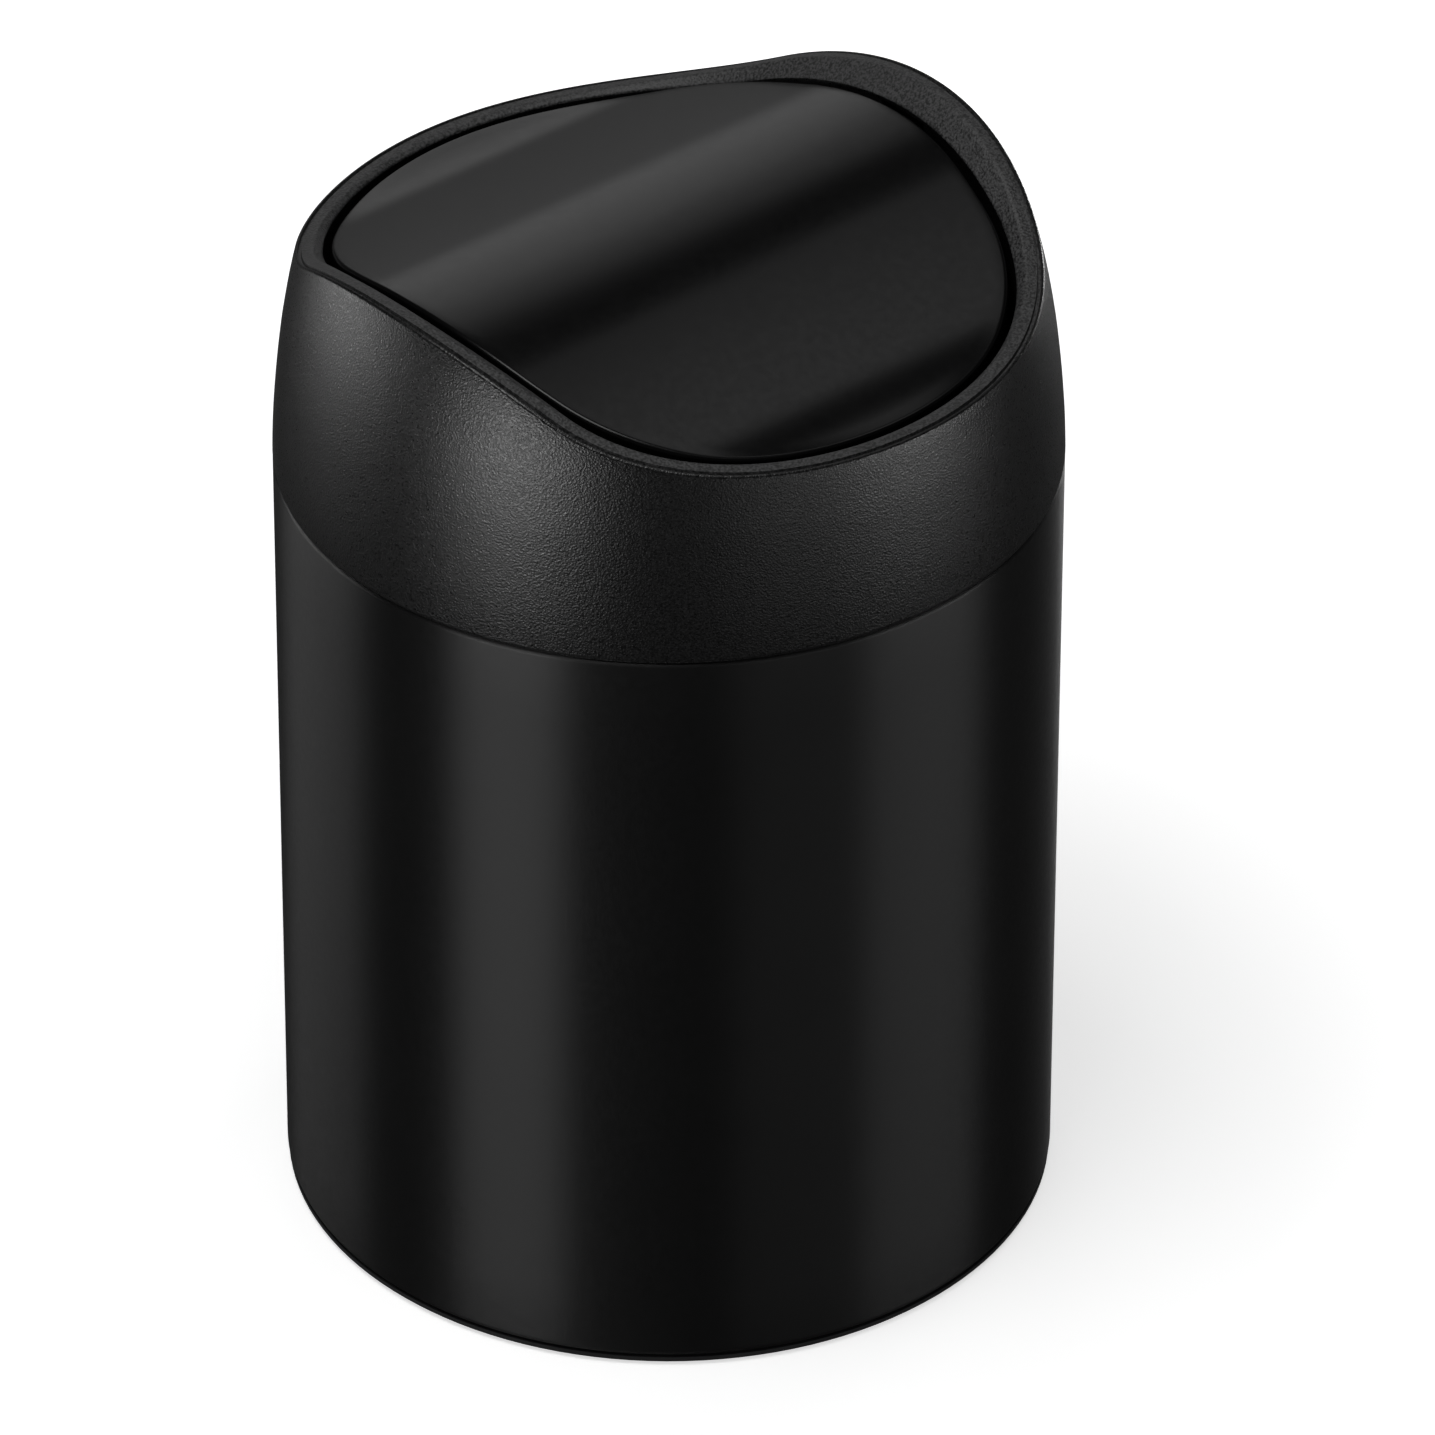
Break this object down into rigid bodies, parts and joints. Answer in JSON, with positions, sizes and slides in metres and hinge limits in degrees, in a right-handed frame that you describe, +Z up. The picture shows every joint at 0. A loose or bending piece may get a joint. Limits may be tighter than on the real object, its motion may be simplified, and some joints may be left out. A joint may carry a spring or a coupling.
{
  "type": "countertop trash can",
  "caption": "Round countertop trash can: straight metal body, lift-off collar with a saddle-shaped rim, and a ridge-shaped flap that swings both ways.",
  "frame": {"origin": "centre of the face the can stands on, on the table plane", "axes": "+Z up along the body; the flap's pivot axis runs along X through the two high points of the rim; the low sides of the rim face -Y (front) and +Y (rear)"},
  "size_m": [0.1222, 0.1222, 0.1765],
  "materials": {
    "body_paint": "satin powder coat",
    "grained_plastic": "fine leather grain",
    "satin_plastic": "satin",
    "dark_plastic": "smooth matte",
    "bearing_plastic": "natural acetal",
    "soft_rubber": "matte",
    "steel": "zinc plated"
  },
  "bodies": {
    "body": {"body_tube": "body_paint", "body_floor": "steel", "base_ring": "dark_plastic", "base_tread": "soft_rubber"},
    "collar": {"collar_shell": "grained_plastic", "collar_insert": "dark_plastic", "grip_ring": "soft_rubber", "collar_screws": "steel", "bush_left": "bearing_plastic", "bush_right": "bearing_plastic"},
    "flap": {"flap_skin": "satin_plastic", "flap_tray": "dark_plastic", "weight_front": "steel", "weight_rear": "steel", "pin_left": "steel", "pin_right": "steel", "flap_screws": "steel"}
  },
  "joints": [
    {"name": "collar_lift", "type": "slide", "parent": "body", "child": "collar", "axis": [0, 0, 1], "range_m": [0, 0.06]},
    {"name": "flap_swing", "type": "hinge", "parent": "collar", "child": "flap", "pos_m": [0, 0, 0.168], "axis": [1, 0, 0], "range_deg": [-80, 80]}
  ]
}
